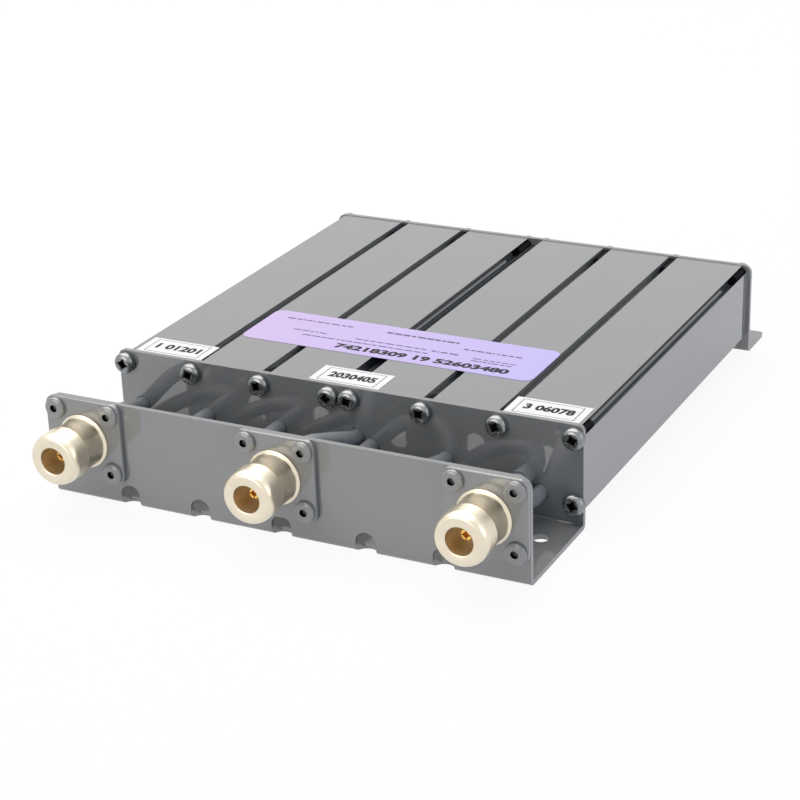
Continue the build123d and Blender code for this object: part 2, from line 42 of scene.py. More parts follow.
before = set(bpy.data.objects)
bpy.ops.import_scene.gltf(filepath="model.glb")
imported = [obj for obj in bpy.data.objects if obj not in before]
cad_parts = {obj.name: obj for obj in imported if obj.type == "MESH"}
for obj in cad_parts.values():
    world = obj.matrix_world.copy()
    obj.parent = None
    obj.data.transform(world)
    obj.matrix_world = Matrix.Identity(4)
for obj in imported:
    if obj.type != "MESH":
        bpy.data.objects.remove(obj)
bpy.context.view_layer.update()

MM = 0.001
ROOT = "duplexer"
SIDES = ("left", "middle", "right")
BRACKETS = ("front_bracket", "rear_bracket")
PROFILES = ("cavity_profile_left", "cavity_profile_right")
LEADS = (
    "coax_left_port", "coax_1_2", "coax_2_3", "coax_3_antenna",
    "coax_antenna_4", "coax_4_5", "coax_5_6", "coax_right_port",
)
CAVITIES = range(1, 7)
SHEET_ENAMEL = "stoved_gloss_enamel_on_steel_sheet"

# Camera of the photograph, in the frame of the part: metres, degrees, and millimetres for lens and sensor
CAMERA_PLACE = (0.27706, -0.54705, 0.26956)
CAMERA_AZIMUTH = 27.506
CAMERA_ELEVATION = 23.219
CAMERA_ROLL = -2.067
CAMERA_LENS = 94.138
CAMERA_SENSOR = 36.0
CAMERA_CLIP = (0.01, 20.0)

# Round lamps that look at the origin: name, place, diameter and power
LAMPS = (
    ("lamp_above", (-0.35, 0.25, 1.2), 2.0, 24.0),
    ("lamp_front", (-0.4, -1.3, 0.5), 1.0, 5.5),
    ("lamp_right", (1.3, 0.1, 0.5), 0.9, 2.5),
)
LAMP_COLOUR = "#FFF7EC"
DOME_COLOUR = "#AEC8FF"
DOME_STRENGTH = 0.38

# Floor: half its side, its colour, and the share of plain white that the camera and a mirror see there
FLOOR_REACH = 3.0
FLOOR_COLOUR = "#F4F4F4"
FLOOR_SEEN = 0.92
FLOOR_MIRRORED = 0.84

# A cloud of roughness runs between these two shares of its middle value
ROUGH_LEAST = 0.8
ROUGH_MOST = 1.25

# An outline stops this short of its axis. There a cap shuts a screw, and a rivet keeps a hair-thin bore
AXIS_GAP = 0.02 * MM

# Turned sockets: how many rows of faces are lined, from the seat of the insulator on, the shoulder behind
# the thread, the rounded edge of the mouth, the cup that takes the leads, and the edge of the tail
LINED_ROWS = 2
SHOULDER = 0.9 * MM
MOUTH_EDGE = 0.25 * MM
CUP_DEPTH = 6.0 * MM
CUP_RADIUS = {"left": 2.575 * MM, "middle": 5.175 * MM, "right": 2.575 * MM}
TAIL_EDGE = 0.3 * MM
SOCKET_ROWS_A_TURN = 9

# Square flanges
FLANGE_CORNER = 2.8 * MM
FLANGE_HOLE = 7.0 * MM
FLANGE_EDGE = 0.25 * MM
FLANGE_SEGMENTS = 288

# Blind rivets: radii of the flat top, shank and tail, the rim's height on the flange, the depth of the
# bore, the place of the tail behind the lip's face, and its length
RIVET_TOP = 2.1 * MM
RIVET_SHANK = 1.6 * MM
RIVET_TAIL = 2.3 * MM
RIVET_RIM = 0.7 * MM
RIVET_BORE_DEPTH = 2.4 * MM
RIVET_GRIP = 1.5 * MM
RIVET_TAIL_LENGTH = 2.2 * MM
RIVET_SEGMENTS = 48

# Pan head screws: the cross recess is a star with this depth, power, reach as a share of the head's
# radius, and share of the reach that is sloped wall. The thread starts a little under the head
SCREW_SEED = 11
STAR_DEPTH = 1.5 * MM
STAR_POWER = 0.72
STAR_REACH = 0.68
STAR_WALL = 0.25
SCREW_TIP = 0.8
SCREW_THREAD_DEPTH = 0.3 * MM
SCREW_THREAD_FADE = 0.6 * MM
UNDER_HEAD = 0.2 * MM
HEAD_CHAMFER = 0.15 * MM
SCREW_ROWS_A_TURN = 5
HEAD_RINGS = 26

# How much painted shade darkens the recess, the lower half of a head and the shank
RECESS_SHADE = 2.6
RIM_SHADE = 0.45
SHANK_SHADE = 0.5

# How far the outlines of figures are thickened, as a share of the size of their type
FIGURE_WEIGHT = 0.05

# Print on the labels, all in millimetres, and places from the lower left corner of each label
INK_THICK = 0.008

# Rows of fine print: left, bottom, right and top. Short bars stand in them for words, and the last bar of
# a row starts no nearer to its end than ROW_END
FINE_PRINT = (
    (6.4, 19.3, 30.0, 20.1), (42.0, 19.1, 67.6, 20.3), (70.2, 15.5, 89.6, 16.4),
    (13.0, 11.3, 24.7, 12.0), (35.1, 10.9, 60.7, 11.6), (61.6, 10.6, 71.5, 11.5),
    (17.8, 8.2, 61.6, 8.9), (76.0, 8.2, 90.2, 8.9), (76.0, 9.9, 90.2, 10.5),
)
PRINT_SEED = 5
WORD_WIDTHS = (0.7, 3.2)
WORD_GAPS = (0.3, 0.7)
ROW_END = 0.8

# Figures with the two corners that they fill, and the ruled frame of a port label
NAMEPLATE_FIGURES = "74218309 19 52603480"
NAMEPLATE_FIGURES_BOX = ((31.8, 2.4), (90.4, 6.2))
PORT_FIGURES = {"left": "1 01201", "middle": "2030405", "right": "3 06078"}
PORT_FIGURES_BOX = ((4.2, 3.9), (19.8, 7.9))
PORT_FRAME_LEFT = 2.2
PORT_FRAME_RIGHT = 2.4
PORT_FRAME_INSET = 1.0
UPRIGHT_LINE = 0.25
LEVEL_LINE = 0.2


def node_box(name):
    """Lowest and highest corner of a CAD node, as arrays."""
    low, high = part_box(name)
    return np.array(low), np.array(high)


def srgb(text):
    """Linear RGBA of an sRGB hex colour: below 0.04045 a straight line, above it a power of 2.4."""
    values = np.array([int(text[i:i + 2], 16) for i in (1, 3, 5)]) / 255.0
    linear = np.where(values <= 0.04045, values / 12.92, ((values + 0.055) / 1.055) ** 2.4)
    return (*linear.tolist(), 1.0)


# Finishes

def add_node(tree, kind, settings=None, inputs=None):
    """Adds one node with its settings, and sets or links each input."""
    made = tree.nodes.new(kind)
    for name, value in (settings or {}).items():
        setattr(made, name, value)
    for key, value in (inputs or {}).items():
        if isinstance(value, bpy.types.NodeSocket):
            tree.links.new(value, made.inputs[key])
        else:
            made.inputs[key].default_value = value
    return made


def new_material(name):
    """An empty node material, its tree, and the Object coordinates in millimetres."""
    material = bpy.data.materials.new(name)
    material.use_nodes = True
    tree = material.node_tree
    tree.nodes.clear()
    place = add_node(tree, "ShaderNodeTexCoord")
    scaled = add_node(tree, "ShaderNodeVectorMath", {"operation": "SCALE"},
                      {0: place.outputs["Object"], "Scale": 1.0 / MM})
    return material, tree, scaled.outputs["Vector"]


def finish_material(tree, shader):
    """Leads the shader to the material's output."""
    add_node(tree, "ShaderNodeOutputMaterial", None, {"Surface": shader.outputs[0]})


def two_tones(tree, cloud, colour, share):
    """The colour, which drifts through the cloud down to the given share of its light."""
    base = srgb(colour)
    darker = tuple(value * share for value in base[:3]) + (1.0,)
    tint = add_node(tree, "ShaderNodeMix", {"data_type": "RGBA"},
                    {"Factor": cloud.outputs["Fac"], "A": darker, "B": base})
    return tint.outputs["Result"]


def gloss_enamel(name, colour, lines_along_y=False):
    """Stoved gloss enamel, sprayed.

    It gives a clear mirror of what stands close, over a faint orange peel of about 1.5 mm, and
    edges that the wet paint has rounded. Aluminium pigment near its surface mirrors more than clear
    enamel, which the raised index stands for. Extrusions keep faint die lines along their length.
    """
    cloud_width = 28.0
    line_stretch, line_share = (1.6, 0.004, 1.6), 0.6
    peel_strength, peel_depth = 0.06, 0.012 * MM
    finish = bpy.context.scene.duplexer_finish
    material, tree, place = new_material(name)
    cloud = add_node(tree, "ShaderNodeTexNoise", None,
                     {"Vector": place, "Scale": 1.0 / cloud_width, "Detail": 3.0, "Roughness": 0.55})
    peel = add_node(tree, "ShaderNodeTexNoise", None,
                    {"Vector": place, "Scale": MM / finish.peel_width, "Detail": 1.5})
    height = peel.outputs["Fac"]
    if lines_along_y:
        stretched = add_node(tree, "ShaderNodeVectorMath", {"operation": "MULTIPLY"},
                             {0: place, 1: line_stretch})
        lines = add_node(tree, "ShaderNodeTexNoise", None,
                         {"Vector": stretched.outputs["Vector"], "Scale": 1.0, "Detail": 3.0})
        summed = add_node(tree, "ShaderNodeMath", {"operation": "MULTIPLY_ADD"},
                          {0: lines.outputs["Fac"], 1: line_share, 2: height})
        height = summed.outputs["Value"]
    rough = add_node(tree, "ShaderNodeMapRange", None,
                     {"Value": cloud.outputs["Fac"], "To Min": finish.enamel_roughness * ROUGH_LEAST,
                      "To Max": finish.enamel_roughness * ROUGH_MOST})
    soft_edge = add_node(tree, "ShaderNodeBevel", {"samples": 4}, {"Radius": finish.paint_edge})
    bump = add_node(tree, "ShaderNodeBump", None,
                    {"Height": height, "Strength": peel_strength, "Distance": peel_depth,
                     "Normal": soft_edge.outputs["Normal"]})
    shader = add_node(tree, "ShaderNodeBsdfPrincipled", None,
                      {"Base Color": two_tones(tree, cloud, colour, share=0.93),
                       "Roughness": rough.outputs["Result"],
                       "Normal": bump.outputs["Normal"], "IOR": finish.enamel_ior})
    finish_material(tree, shader)
    return material


def turned_metal(name, colour, roughness):
    """Metal turned on a lathe and plated, or drawn tube.

    Fine feed marks run round the axis, so the noise changes along Y alone. The marks are about
    0.12 mm apart, drawn a little coarser than the real ones so that they show.
    """
    feed, feed_depth, feed_strength = 0.12, 0.02 * MM, 0.25
    across, cloud_scale = 0.05, 0.35
    material, tree, place = new_material(name)
    along = add_node(tree, "ShaderNodeVectorMath", {"operation": "MULTIPLY"},
                     {0: place, 1: (across, 1.0 / feed, across)})
    marks = add_node(tree, "ShaderNodeTexNoise", None,
                     {"Vector": along.outputs["Vector"], "Scale": 1.0, "Detail": 2.0})
    cloud = add_node(tree, "ShaderNodeTexNoise", None,
                     {"Vector": place, "Scale": cloud_scale, "Detail": 4.0})
    rough = add_node(tree, "ShaderNodeMapRange", None,
                     {"Value": cloud.outputs["Fac"], "To Min": roughness * ROUGH_LEAST,
                      "To Max": roughness * ROUGH_MOST})
    bump = add_node(tree, "ShaderNodeBump", None,
                    {"Height": marks.outputs["Fac"], "Strength": feed_strength, "Distance": feed_depth})
    shader = add_node(tree, "ShaderNodeBsdfPrincipled", None,
                      {"Base Color": two_tones(tree, cloud, colour, share=0.86), "Metallic": 1.0,
                       "Roughness": rough.outputs["Result"], "Normal": bump.outputs["Normal"]})
    finish_material(tree, shader)
    return material


def zinc_plated_steel(name, colour, painted_shade):
    """Bright zinc plate on cold headed steel.

    Small random scratches and a cloudy passivation. The driver recess, the lower half of the head and the
    shank carry painted shade, marked by the recess attribute of the mesh: there the metal turns dark and
    dull.
    """
    cloud_scale, scratch_scale = 0.9, 5.0
    scratch_strength, scratch_depth = 0.2, 0.03 * MM
    plain_roughness, shade_roughness = (0.18, 0.34), 0.35
    clean_gleam, shaded_gleam = 0.5, 0.06
    material, tree, place = new_material(name)
    cloud = add_node(tree, "ShaderNodeTexNoise", None,
                     {"Vector": place, "Scale": cloud_scale, "Detail": 5.0})
    recess = add_node(tree, "ShaderNodeAttribute", {"attribute_name": "recess"})
    tint = two_tones(tree, cloud, colour, share=0.72)
    # Painted shade: where the recess attribute rises, the zinc turns to the near-black shade colour and
    # loses its metal and gleam
    shaded_tint = add_node(tree, "ShaderNodeMix", {"data_type": "RGBA"},
                     {"Factor": recess.outputs["Fac"], "A": tint, "B": srgb(painted_shade)})
    bright = add_node(tree, "ShaderNodeMapRange", None,
                      {"Value": recess.outputs["Fac"], "To Min": 1.0, "To Max": 0.0})
    gleam = add_node(tree, "ShaderNodeMapRange", None,
                     {"Value": recess.outputs["Fac"], "To Min": clean_gleam, "To Max": shaded_gleam})
    plain = add_node(tree, "ShaderNodeMapRange", None,
                     {"Value": cloud.outputs["Fac"], "To Min": plain_roughness[0],
                      "To Max": plain_roughness[1]})
    rough = add_node(tree, "ShaderNodeMath", {"operation": "MULTIPLY_ADD"},
                     {0: recess.outputs["Fac"], 1: shade_roughness, 2: plain.outputs["Result"]})
    scratch = add_node(tree, "ShaderNodeTexNoise", None,
                       {"Vector": place, "Scale": scratch_scale, "Detail": 2.0})
    bump = add_node(tree, "ShaderNodeBump", None,
                    {"Height": scratch.outputs["Fac"], "Strength": scratch_strength,
                     "Distance": scratch_depth})
    shader = add_node(tree, "ShaderNodeBsdfPrincipled", None,
                      {"Base Color": shaded_tint.outputs["Result"], "Metallic": bright.outputs["Result"],
                       "Roughness": rough.outputs["Value"], "Normal": bump.outputs["Normal"],
                       "Specular IOR Level": gleam.outputs["Result"]})
    finish_material(tree, shader)
    return material


def vinyl_jacket(name, colour):
    """Extruded PVC jacket of a coaxial lead: satin, with a faint waviness from the braid below it."""
    cloud_scale, wave_scale = 0.12, 1.3
    wave_strength, wave_depth = 0.2, 0.05 * MM
    material, tree, place = new_material(name)
    cloud = add_node(tree, "ShaderNodeTexNoise", None,
                     {"Vector": place, "Scale": cloud_scale, "Detail": 3.0})
    wave = add_node(tree, "ShaderNodeTexNoise", None,
                    {"Vector": place, "Scale": wave_scale, "Detail": 2.0})
    bump = add_node(tree, "ShaderNodeBump", None,
                    {"Height": wave.outputs["Fac"], "Strength": wave_strength, "Distance": wave_depth})
    shader = add_node(tree, "ShaderNodeBsdfPrincipled", None,
                      {"Base Color": two_tones(tree, cloud, colour, share=0.9), "Roughness": 0.24,
                       "Normal": bump.outputs["Normal"]})
    finish_material(tree, shader)
    return material


def printed_film(name, left, right, span, roughness):
    """Printed polyester label under a clear laminate: satin, with a faint grain.

    Where the two colours differ, the tint slopes from one to the other over the span, in millimetres.
    """
    grain_scale, grain_strength, grain_depth = 2.2, 0.06, 0.02 * MM
    material, tree, place = new_material(name)
    tint = srgb(left)
    if left != right:
        split = add_node(tree, "ShaderNodeSeparateXYZ", None, {0: place})
        slope = add_node(tree, "ShaderNodeMapRange", None,
                         {"Value": split.outputs["X"], "From Min": -span / 2, "From Max": span / 2})
        mixed = add_node(tree, "ShaderNodeMix", {"data_type": "RGBA"},
                         {"Factor": slope.outputs["Result"], "A": srgb(left), "B": srgb(right)})
        tint = mixed.outputs["Result"]
    grain = add_node(tree, "ShaderNodeTexNoise", None,
                     {"Vector": place, "Scale": grain_scale, "Detail": 3.0})
    bump = add_node(tree, "ShaderNodeBump", None,
                    {"Height": grain.outputs["Fac"], "Strength": grain_strength,
                     "Distance": grain_depth})
    shader = add_node(tree, "ShaderNodeBsdfPrincipled", None,
                      {"Base Color": tint, "Roughness": roughness, "Normal": bump.outputs["Normal"]})
    finish_material(tree, shader)
    return material


def moulded_fluoropolymer(name, colour):
    """White fluoropolymer insulator: waxy, slightly translucent."""
    cloud_scale, depth_share, depth = 0.8, 0.2, 1.0 * MM
    material, tree, place = new_material(name)
    cloud = add_node(tree, "ShaderNodeTexNoise", None,
                     {"Vector": place, "Scale": cloud_scale, "Detail": 2.0})
    shader = add_node(tree, "ShaderNodeBsdfPrincipled", None,
                      {"Base Color": two_tones(tree, cloud, colour, share=0.92), "Roughness": 0.4,
                       "Subsurface Weight": depth_share, "Subsurface Scale": depth})
    finish_material(tree, shader)
    return material


def matt_coat(name, colour, gleam=0.5):
    """Thin matt coat with a fine grain: screen ink on a label, or the near-black painted shade in a
    rivet's bore.
    """
    grain_scale, paler_share, roughness = 6.0, 1.5, 0.5
    material, tree, place = new_material(name)
    grain = add_node(tree, "ShaderNodeTexNoise", None,
                     {"Vector": place, "Scale": grain_scale, "Detail": 2.0})
    base = srgb(colour)
    paler = tuple(min(1.0, value * paler_share) for value in base[:3]) + (1.0,)
    tint = add_node(tree, "ShaderNodeMix", {"data_type": "RGBA"},
                    {"Factor": grain.outputs["Fac"], "A": base, "B": paler})
    shader = add_node(tree, "ShaderNodeBsdfPrincipled", None,
                      {"Base Color": tint.outputs["Result"], "Roughness": roughness,
                       "Specular IOR Level": gleam})
    finish_material(tree, shader)
    return material


def dress(node_name, material):
    """Gives a CAD node its finish."""
    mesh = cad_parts[node_name].data
    mesh.materials.clear()
    mesh.materials.append(material)


# Pieces from arrays

def grid_faces(rows, columns, closed_rows=False):
    """Quads of a grid of rows by columns that closes on itself across, and down too where asked."""
    i = np.arange(rows if closed_rows else rows - 1)[:, None]
    j = np.arange(columns)[None, :]
    down, across = (i + 1) % rows, (j + 1) % columns
    quads = np.stack(np.broadcast_arrays(i * columns + j, i * columns + across,
                                         down * columns + across, down * columns + j), axis=-1)
    return quads.reshape(-1, 4)


def close_ends(faces, rows, columns):
    """Shuts the first and last ring with a strip of quads from one half of each ring to the other.

    The last ring is taken the other way round, so that its strip faces away from the first.
    """
    first = np.arange(columns)
    last = (rows - 1) * columns + first
    half = columns // 2
    strips = []
    for ring in (first, last[::-1]):
        near, far = ring[:half], ring[::-1][:half]
        strips.append(np.stack([near[:-1], far[:-1], far[1:], near[1:]], axis=-1))
    return np.vstack([faces] + strips)


def outward(vertices, faces):
    """The faces, turned round if the volume that they enclose comes out negative."""
    a, b, c, d = (vertices[faces[:, k]] for k in range(4))
    volume = (a * (np.cross(b, c) + np.cross(c, d))).sum()
    return faces if volume > 0 else faces[:, ::-1]


def join(parts):
    """Stacks several (vertices, faces) into one pair of arrays."""
    offsets = np.cumsum([0] + [len(v) for v, _ in parts[:-1]])
    return (np.vstack([v for v, _ in parts]),
            np.vstack([f + offset for (_, f), offset in zip(parts, offsets)]))


def add_piece(name, mesh, material):
    """Puts a mesh into the scene as a piece with one finish, which rides on the root body."""
    mesh.materials.clear()
    mesh.materials.append(material)
    made = bpy.data.objects.new(name, mesh)
    bpy.context.scene.collection.objects.link(made)
    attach(made, ROOT)
    return made


def build_piece(name, vertices, faces, material, slot=None, attribute=None, sharp_angle=35.0):
    """Puts the arrays into a mesh, smooth but for edges sharper than the angle, and makes it a piece."""
    mesh = bpy.data.meshes.new(name)
    mesh.from_pydata(vertices.tolist(), [], faces.tolist())
    if attribute is not None:
        label, values = attribute
        mesh.attributes.new(label, "FLOAT", "POINT").data.foreach_set("value", values.astype(np.float32))
    mesh.shade_smooth()
    mesh.set_sharp_from_angle(angle=math.radians(sharp_angle))
    return add_piece(name, mesh, material)


def line_faces(made, material, lined):
    """Gives a second finish to the faces that the array marks."""
    made.data.materials.append(material)
    made.data.polygons.foreach_set("material_index", lined.astype(np.int32))


# Turned shapes

def turned(y, radius, centre):
    """Surface of revolution about an axis along Y.

    Row i has height y[i] and radius[i, j], and column j stands at the angle 2 pi j / columns:
    x = centre x + r cos t, z = centre z + r sin t.
    """
    rows, columns = radius.shape
    angle = 2 * np.pi * np.arange(columns) / columns
    x = centre[0] + radius * np.cos(angle)
    z = centre[1] + radius * np.sin(angle)
    heights = np.broadcast_to(y[:, None], (rows, columns))
    return np.stack([x, heights, z], axis=-1).reshape(-1, 3)


def threaded_radius(y, radius, columns, start, end, pitch, depth, fade):
    """Adds a thread to an outline.

    Between start and end the radius drops by depth times a rounded vee of the phase y / pitch - t / 2 pi,
    and the depth fades to nothing over the given length at both ends.
    """
    roundness = 1.2
    turn = np.arange(columns)[None, :] / columns
    phase = (y[:, None] / pitch - turn) % 1.0
    vee = np.abs(2 * phase - 1) ** roundness
    inside = np.clip((y - start) / fade, 0, 1) * np.clip((end - y) / fade, 0, 1)
    return radius[:, None] - depth * vee * inside[:, None]


def thread_rows(start, end, pitch, per_turn):
    """Heights of the rows along a thread."""
    return np.linspace(start, end, int(round(abs(end - start) / pitch * per_turn)) + 1)


def rounded_square(half, corner, angle):
    """Distance from the middle to a square with rounded corners, in the direction of each angle.

    The angle folds into one eighth. The ray meets the flat side at half / cos, unless that is past the
    corner's start, where it meets the circle about the corner's centre.
    """
    folded = np.abs((angle + np.pi / 4) % (np.pi / 2) - np.pi / 4)
    c, s = np.cos(folded), np.sin(folded)
    flat = half / c
    k = half - corner
    along = k * (c + s)
    reach = along + np.sqrt(np.maximum(along ** 2 - 2 * k * k + corner ** 2, 0))
    return np.where(flat * s <= k, flat, reach)


def quarter(rim, face, steps):
    """Quarter ellipse from a rim (place, radius) to a smaller face (place, radius)."""
    return [(rim[0] + (face[0] - rim[0]) * math.sin(t), face[1] + (rim[1] - face[1]) * math.cos(t))
            for t in np.linspace(0, np.pi / 2, steps)]


def socket_outline(sizes, front, lip, tail, cup):
    """Outline of the turned socket, a closed loop of (y, r) from its seat round the outside and back."""
    seat = front + sizes.mouth_depth
    thread_end = front + sizes.socket_thread_length
    flange_face = lip - sizes.flange_thick
    cup_floor = tail - CUP_DEPTH
    nose = front + sizes.nose_length
    mouth, core, thread = sizes.mouth / 2, sizes.core / 2, sizes.socket_thread / 2
    neck, ring, barrel = sizes.neck / 2, sizes.ring / 2, sizes.barrel / 2
    # From the seat of the insulator along the mouth, round its edge and over the rounded nose
    rows = [(seat, core), (seat, mouth), (front + 1.6 * MOUTH_EDGE, mouth)]
    rows += quarter((front + MOUTH_EDGE, mouth + 0.1 * MOUTH_EDGE), (front, mouth + MOUTH_EDGE), steps=3)
    rows += quarter((nose, thread), (front, sizes.nose / 2), steps=9)[::-1]
    rows += [(y, thread) for y in
             thread_rows(nose, thread_end - SHOULDER, sizes.socket_pitch, SOCKET_ROWS_A_TURN)[1:]]
    # The shoulder curves in from the thread to the neck, a little fuller than an ellipse
    rows += [(thread_end - SHOULDER * math.cos(t), neck + (thread - neck) * math.cos(t) ** 0.8)
             for t in np.linspace(0, np.pi / 2, 6)[1:]]
    # The ring, by its place before or behind the flange's face in millimetres, and the barrel behind it
    ring_rows = ((-1.5, neck), (-1.2, neck + 0.1 * MM), (-1.0, ring - 0.25 * MM),
                 (-0.85, ring), (1.0, ring), (1.0, barrel))
    rows += [(flange_face + place * MM, radius) for place, radius in ring_rows]
    rows += [(tail - TAIL_EDGE, barrel), (tail, barrel - TAIL_EDGE), (tail, cup),
             (cup_floor, cup), (cup_floor, core)]
    return np.array(rows)


def build_barrel(side, finishes, centre, front, lip, tail, sizes):
    """Turned barrel of a socket, with its thread, and with its mouth lined."""
    outline = socket_outline(sizes, front, lip, tail, CUP_RADIUS[side])
    columns = sizes.socket_segments
    y, plain = outline[:, 0], outline[:, 1]
    start, end = front + sizes.nose_length, front + sizes.socket_thread_length - SHOULDER
    full = threaded_radius(y, plain, columns, start, end, sizes.socket_pitch,
                           sizes.socket_thread_depth, SHOULDER)
    outer = np.isclose(plain, sizes.socket_thread / 2)
    vertices = turned(y, np.where(outer[:, None], full, plain[:, None]), centre)
    faces = outward(vertices, grid_faces(len(y), columns, closed_rows=True))
    barrel = build_piece(f"socket_barrel_{side}", vertices, faces, finishes["nickel"], "nickel",
                         sharp_angle=50.0)
    line_faces(barrel, finishes["mouth"], faces.min(axis=1) // columns < LINED_ROWS)
    return barrel


def build_flange(side, material, centre, lip, sizes):
    """Square flange with rounded corners: the rounded square shrinks towards its painted edges."""
    face = lip - sizes.flange_thick
    angle = 2 * np.pi * np.arange(FLANGE_SEGMENTS) / FLANGE_SEGMENTS
    rows = [(face, None)]
    rows += [(face + FLANGE_EDGE * (1 - math.cos(t)), FLANGE_EDGE * (1 - math.sin(t)))
             for t in np.linspace(0, np.pi / 2, 5)]
    rows += [(lip - FLANGE_EDGE, 0.0), (lip, FLANGE_EDGE), (lip, None)]
    radius = np.stack([np.full_like(angle, FLANGE_HOLE) if inset is None
                       else rounded_square(sizes.flange / 2 - inset, FLANGE_CORNER - inset, angle)
                       for _, inset in rows])
    y = np.array([place for place, _ in rows])
    vertices = turned(y, radius, centre)
    faces = outward(vertices, grid_faces(len(y), len(angle), closed_rows=True))
    return build_piece(f"socket_flange_{side}", vertices, faces, material, "bracket_paint")


def build_socket(side, finishes, sizes):
    """One socket, its barrel and its flange, in place of the CAD body."""
    node_name = f"connector_body_{side}"
    low, high = node_box(node_name)
    lip = node_box("front_bracket")[0][1]
    centre = ((low[0] + high[0]) / 2, (low[2] + high[2]) / 2)
    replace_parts(build_barrel(side, finishes, centre, low[1], lip, high[1], sizes), node_name)
    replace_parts(build_flange(side, finishes["bracket"], centre, lip, sizes), node_name)


def rivet_arrays(centre, lip, sizes):
    """One blind rivet: a flat head with a rounded rim and a bore, and the bulged tail behind the lip.

    The third array marks the faces of the bore, which get a near-black painted shade.
    """
    head, bore = sizes.rivet_head / 2, sizes.rivet_bore / 2
    face, back = lip - sizes.flange_thick, lip + RIVET_GRIP
    top = face - sizes.rivet_height
    bore_floor = top + RIVET_BORE_DEPTH
    bore_edge = 0.1 * MM
    rows = [(bore_floor, AXIS_GAP), (bore_floor, bore), (top + bore_edge, bore), (top, bore + bore_edge)]
    rows += quarter((face - RIVET_RIM, head), (top, RIVET_TOP), steps=9)[::-1]
    rows += [(face, head), (face, RIVET_SHANK), (back, RIVET_SHANK), (back, RIVET_TAIL)]
    # The tail is a half ball that starts at about a third of its length
    rows += [(back + RIVET_TAIL_LENGTH * (0.35 + 0.65 * math.sin(t)), RIVET_TAIL * math.cos(t) + AXIS_GAP)
             for t in np.linspace(0, np.pi / 2, 9)]
    outline = np.array(rows)
    radius = np.repeat(outline[:, 1:], RIVET_SEGMENTS, axis=1)
    vertices = turned(outline[:, 0], radius, centre)
    faces = outward(vertices, grid_faces(len(outline), RIVET_SEGMENTS, closed_rows=True))
    in_bore = faces.max(axis=1) // RIVET_SEGMENTS <= 2
    return vertices, faces, in_bore


def screw_arrays(sizes, head, height, x, z, seat, facing, turn):
    """One pan head screw.

    The head is a surface of revolution whose top is pressed in by a four-pointed star: the depth grows
    with 1 - (|x| ** p + |z| ** p) ** (1 / p) / reach. The shank carries a thread. Distances run along
    the axis from the seat, and are negative in the head. The third array marks painted shade.
    """
    shank, length, columns = sizes.screw_shank / 2, sizes.screw_length, sizes.screw_segments
    rim, flat = 0.5 * height, 0.5 * head
    along = thread_rows(length, UNDER_HEAD, sizes.screw_pitch, SCREW_ROWS_A_TURN)
    rows = [(along[0], AXIS_GAP), (along[0], SCREW_TIP * shank)] + [(a, shank) for a in along]
    rows += [(0, shank), (0, head - HEAD_CHAMFER), (-HEAD_CHAMFER, head)]
    rows += quarter((-rim, head), (-height, flat), steps=9)
    rows += [(-height, r) for r in np.linspace(flat, AXIS_GAP, HEAD_RINGS)[1:]]
    outline = np.array(rows)
    distance, plain = outline[:, 0], outline[:, 1]
    full = threaded_radius(distance, plain, columns, UNDER_HEAD, length, sizes.screw_pitch,
                           SCREW_THREAD_DEPTH, SCREW_THREAD_FADE)
    radius = np.where(np.isclose(plain, shank)[:, None], full, plain[:, None])
    angle = 2 * np.pi * np.arange(columns)[None, :] / columns + turn
    u, v = np.abs(radius * np.cos(angle)), np.abs(radius * np.sin(angle))
    star = (u ** STAR_POWER + v ** STAR_POWER) ** (1 / STAR_POWER) / (STAR_REACH * head)
    pressed = np.clip((1 - star) / STAR_WALL, 0, 1) * (distance < -height / 2)[:, None]
    lift = distance[:, None] + STAR_DEPTH * pressed
    vertices = np.stack([x + radius * np.cos(angle - turn), seat - facing * lift,
                         z + radius * np.sin(angle - turn)], axis=-1).reshape(-1, 3)
    faces = close_ends(grid_faces(len(outline), columns), len(outline), columns)
    # Painted shade: the star recess, the lower half of the head and the shank are marked to be darkened
    below = np.where(distance > -rim, RIM_SHADE, 0.0) + np.where(distance > 0.01 * MM, SHANK_SHADE, 0.0)
    painted_shade = np.clip(pressed * RECESS_SHADE + below[:, None], 0, 1)
    return vertices, outward(vertices, faces), painted_shade.ravel()


def screw_places(sizes):
    """X and Z of the sixteen screws of one end, from the box of one extrusion."""
    low, high = node_box("cavity_profile_right")
    middle, inset, seam = (low[0] + high[0]) / 2, sizes.screw_inset, sizes.seam_offset
    xs = (low[0] + inset, middle - seam, middle + seam, high[0] - inset)
    return [(sign * x, z) for z in (low[2] + inset, high[2] - inset) for x in xs for sign in (-1, 1)]


# Print on the labels

def bar_arrays(x0, y0, x1, y1, z):
    """A flat printed bar: a thin box between two corners."""
    corners = np.array([(x, y, h) for h in (z, z + INK_THICK)
                        for x, y in ((x0, y0), (x1, y0), (x1, y1), (x0, y1))]) * MM
    faces = np.array([(3, 2, 1, 0), (4, 5, 6, 7), (0, 1, 5, 4), (1, 2, 6, 5), (2, 3, 7, 6), (3, 0, 4, 7)])
    return corners, faces


def figures_mesh(text, low, high, z):
    """Plain figures as a thin solid that fills the rectangle between two corners."""
    curve = bpy.data.curves.new("figures", "FONT")
    curve.body = text
    curve.size = 1.0
    curve.offset = FIGURE_WEIGHT
    curve.resolution_u = 3
    # Any depth will do here, because the heights of both faces are set below
    curve.extrude = 0.1
    holder = bpy.data.objects.new("figures_curve", curve)
    bpy.context.scene.collection.objects.link(holder)
    bpy.context.view_layer.update()
    mesh = bpy.data.meshes.new_from_object(holder.evaluated_get(bpy.context.evaluated_depsgraph_get()))
    bpy.data.objects.remove(holder)
    points = np.empty(len(mesh.vertices) * 3)
    mesh.vertices.foreach_get("co", points)
    points = points.reshape(-1, 3)
    least, most = points.min(axis=0), points.max(axis=0)
    points[:, :2] = low + (points[:, :2] - least[:2]) / (most - least)[:2] * (high - low)
    points[:, 2] = np.where(points[:, 2] > 0, z + INK_THICK, z)
    mesh.vertices.foreach_set("co", (points * MM).ravel())
    return mesh


